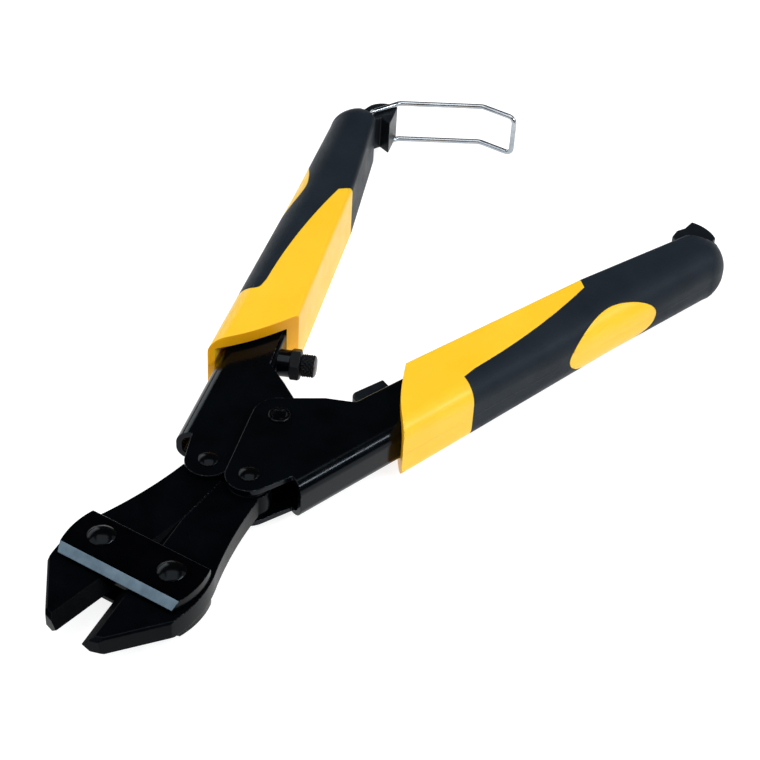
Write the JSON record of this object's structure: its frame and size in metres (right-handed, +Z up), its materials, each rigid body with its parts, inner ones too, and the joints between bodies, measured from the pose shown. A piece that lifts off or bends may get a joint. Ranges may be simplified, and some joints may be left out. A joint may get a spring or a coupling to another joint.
{
  "type": "bolt cutters",
  "caption": "Compact bolt cutters with short riveted jaws, folded steel handles, yellow and black cushioned grips, a stop screw and a wire latch that holds the handles shut.",
  "frame": {"origin": "middle of the lower strap's outside face, on the parting line between the jaws, level with the jaw rivets", "axes": "+Y from the jaws to the handles, +X towards the right handle, +Z up through the straps"},
  "size_m": [0.1186, 0.2179, 0.0162],
  "materials": {
    "strap_enamel": "gloss black enamel, front bevel ground bright",
    "jaw_steel": "gloss black finish on forged steel",
    "rivet_steel": "gloss black",
    "handle_enamel": "gloss black enamel on folded sheet",
    "grip_yellow": "satin hard plastic",
    "grip_black": "fine matte grain",
    "screw_steel": "black oxide, knurled head",
    "black_plastic": "satin black",
    "zinc_wire": "bright zinc"
  },
  "bodies": {
    "strap": {"strap_upper": "strap_enamel", "strap_lower": "strap_enamel", "jaw_rivet_left": "rivet_steel", "jaw_rivet_right": "rivet_steel"},
    "jaw_left": {"jaw_left": "jaw_steel", "tail_rivet_left": "rivet_steel"},
    "jaw_right": {"jaw_right": "jaw_steel", "tail_rivet_right": "rivet_steel"},
    "handle_left": {"handle_left": "handle_enamel", "grip_core_left": "grip_yellow", "grip_overmould_left": "grip_black", "lock_nut": "screw_steel", "bail_bracket": "black_plastic", "centre_rivet": "rivet_steel"},
    "handle_right": {"handle_right": "handle_enamel", "grip_core_right": "grip_yellow", "grip_overmould_right": "grip_black", "stop_pad": "black_plastic", "catch_lug": "black_plastic"},
    "screw": {"stop_screw": "screw_steel"},
    "bail": {"wire_bail": "zinc_wire"}
  },
  "joints": [
    {"name": "handle_right_hinge", "type": "hinge", "parent": "jaw_right", "child": "handle_right", "pos_m": [0.00552, 0.03321, 0.0053], "axis": [0, 0, 1], "range_deg": [0, 23.19]},
    {"name": "jaw_right_hinge", "type": "hinge", "parent": "strap", "child": "jaw_right", "pos_m": [0.0092, 0, 0.0053], "axis": [0, 0, 1], "range_deg": [-8.4, 0]},
    {"name": "jaw_left_hinge", "type": "hinge", "parent": "strap", "child": "jaw_left", "pos_m": [-0.0092, 0, 0.0053], "axis": [0, 0, 1], "range_deg": [0, 8.4]},
    {"name": "handle_left_hinge", "type": "hinge", "parent": "jaw_left", "child": "handle_left", "pos_m": [-0.00552, 0.03321, 0.0053], "axis": [0, 0, 1], "range_deg": [-23.19, 0]},
    {"name": "screw_slide", "type": "slide", "parent": "handle_left", "child": "screw", "axis": [0.9107, 0.4131, 0], "range_m": [0, 0.0028]},
    {"name": "bail_hinge", "type": "hinge", "parent": "handle_left", "child": "bail", "pos_m": [-0.0509, 0.1733, 0.0053], "axis": [0, 0, 1], "range_deg": [-13, 80]}
  ],
  "couplings": [
    {"joint": "jaw_right_hinge", "follows": "handle_right_hinge", "ratio": -0.36223},
    {"joint": "jaw_left_hinge", "follows": "handle_right_hinge", "ratio": 0.36223},
    {"joint": "handle_left_hinge", "follows": "handle_right_hinge", "ratio": -1}
  ]
}
